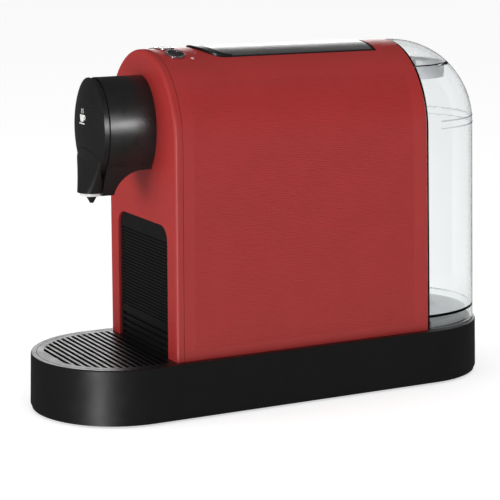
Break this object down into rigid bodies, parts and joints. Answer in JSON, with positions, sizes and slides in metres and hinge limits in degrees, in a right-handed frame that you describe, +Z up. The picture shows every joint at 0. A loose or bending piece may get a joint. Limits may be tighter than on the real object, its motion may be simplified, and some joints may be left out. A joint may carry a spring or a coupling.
{
  "type": "capsule espresso machine",
  "caption": "Slim capsule espresso machine: arched red cover on a black base, oval brew head, top lever, drip tray and clear rear water tank.",
  "frame": {"origin": "on the floor under the middle of the base", "axes": "+Z up, the front with the spout faces -Y, +X is on the right of a person who looks at the front"},
  "size_m": [0.128, 0.365, 0.2593],
  "materials": {
    "red_cover": "satin red",
    "black_plastic": "fine satin black",
    "black_gloss": "satin black",
    "grey_plastic": "light grey",
    "clear_plastic": "clear",
    "frosted_plastic": "frosted",
    "brushed_lever": "brushed",
    "button_metal": "dark satin",
    "chrome_ring": "polished",
    "steel": "turned",
    "aluminium_cast": "as cast",
    "rubber_black": "matte",
    "silicone_hose": "translucent",
    "circuit_board": "solder resist",
    "pale_nozzle": "satin",
    "light_lens": "clear lens"
  },
  "bodies": {
    "machine": {"base_shell": "black_plastic", "base_plate": "black_plastic", "rubber_feet": "rubber_black", "base_screws": "steel", "mains_inlet": "rubber_black", "front_frame": "red_cover", "casing": "red_cover", "rear_cover": "black_plastic", "head_housing": "black_gloss", "head_ring": "black_gloss", "head_cap": "black_gloss", "spout_cover": "black_gloss", "outlet_nozzle": "pale_nozzle", "nozzle_tip": "black_gloss", "outlet_duct": "grey_plastic", "lever_axle": "steel", "lever_bracket": "grey_plastic", "button_rings": "chrome_ring", "tact_switches": "black_plastic", "button_carrier": "circuit_board", "status_lights": "light_lens", "brew_frame": "black_plastic", "injector_plate": "steel", "injector_seal": "rubber_black", "capsule_chute": "black_plastic", "thermoblock": "aluminium_cast", "thermostat": "steel", "thermal_fuse": "steel", "suction_hose": "silicone_hose", "feed_hose": "silicone_hose", "pressure_hose": "silicone_hose", "flow_meter": "black_plastic", "pump": "grey_plastic", "pump_mounts": "rubber_black", "chassis": "grey_plastic", "power_board": "circuit_board", "button_lead": "rubber_black", "tank_dock": "grey_plastic", "tank_socket": "grey_plastic", "socket_seal": "rubber_black"},
    "lever": {"lever_body": "black_gloss", "lever_plate": "brushed_lever"},
    "carriage": {"cage_carriage": "grey_plastic"},
    "left_button": {"button_left": "button_metal"},
    "centre_button": {"button_centre": "button_metal"},
    "right_button": {"button_right": "button_metal"},
    "tank": {"water_tank": "clear_plastic"},
    "lid": {"tank_lid": "clear_plastic", "lid_rim": "frosted_plastic"},
    "valve": {"tank_valve": "rubber_black", "valve_spring": "steel"},
    "bin": {"capsule_bin": "black_plastic"},
    "tray": {"drip_tray": "black_plastic"},
    "grid": {"drip_grid": "black_plastic"}
  },
  "joints": [
    {"name": "lever_hinge", "type": "hinge", "parent": "machine", "child": "lever", "pos_m": [0, 0.078, 0.2492], "axis": [-1, 0, 0], "range_deg": [0, 60]},
    {"name": "carriage_slide", "type": "slide", "parent": "machine", "child": "carriage", "axis": [0, -1, 0], "range_m": [0, 0.0221]},
    {"name": "left_press", "type": "slide", "parent": "machine", "child": "left_button", "axis": [0.3191, 0, -0.9477], "range_m": [0, 0.0015], "stiffness_N_per_m": 600},
    {"name": "centre_press", "type": "slide", "parent": "machine", "child": "centre_button", "axis": [0, 0, -1], "range_m": [0, 0.0015], "stiffness_N_per_m": 600},
    {"name": "right_press", "type": "slide", "parent": "machine", "child": "right_button", "axis": [-0.3191, 0, -0.9477], "range_m": [0, 0.0015], "stiffness_N_per_m": 600},
    {"name": "tank_lift", "type": "slide", "parent": "machine", "child": "tank", "axis": [0, 0, 1], "range_m": [0, 0.12]},
    {"name": "lid_lift", "type": "slide", "parent": "tank", "child": "lid", "axis": [0, 0, 1], "range_m": [0, 0.04]},
    {"name": "valve_lift", "type": "slide", "parent": "tank", "child": "valve", "axis": [0, 0, 1], "range_m": [0, 0.003], "stiffness_N_per_m": 300, "deforming": ["valve_spring"]},
    {"name": "bin_slide", "type": "slide", "parent": "machine", "child": "bin", "axis": [0, 1, 0], "range_m": [-0.078, 0]},
    {"name": "tray_lift", "type": "slide", "parent": "machine", "child": "tray", "axis": [0, 0, 1], "range_m": [0, 0.045]},
    {"name": "grid_lift", "type": "slide", "parent": "tray", "child": "grid", "axis": [0, 0, 1], "range_m": [0, 0.03]}
  ],
  "couplings": [
    {"joint": "carriage_slide", "follows": "lever_hinge", "m_per_rad": 0.021}
  ]
}
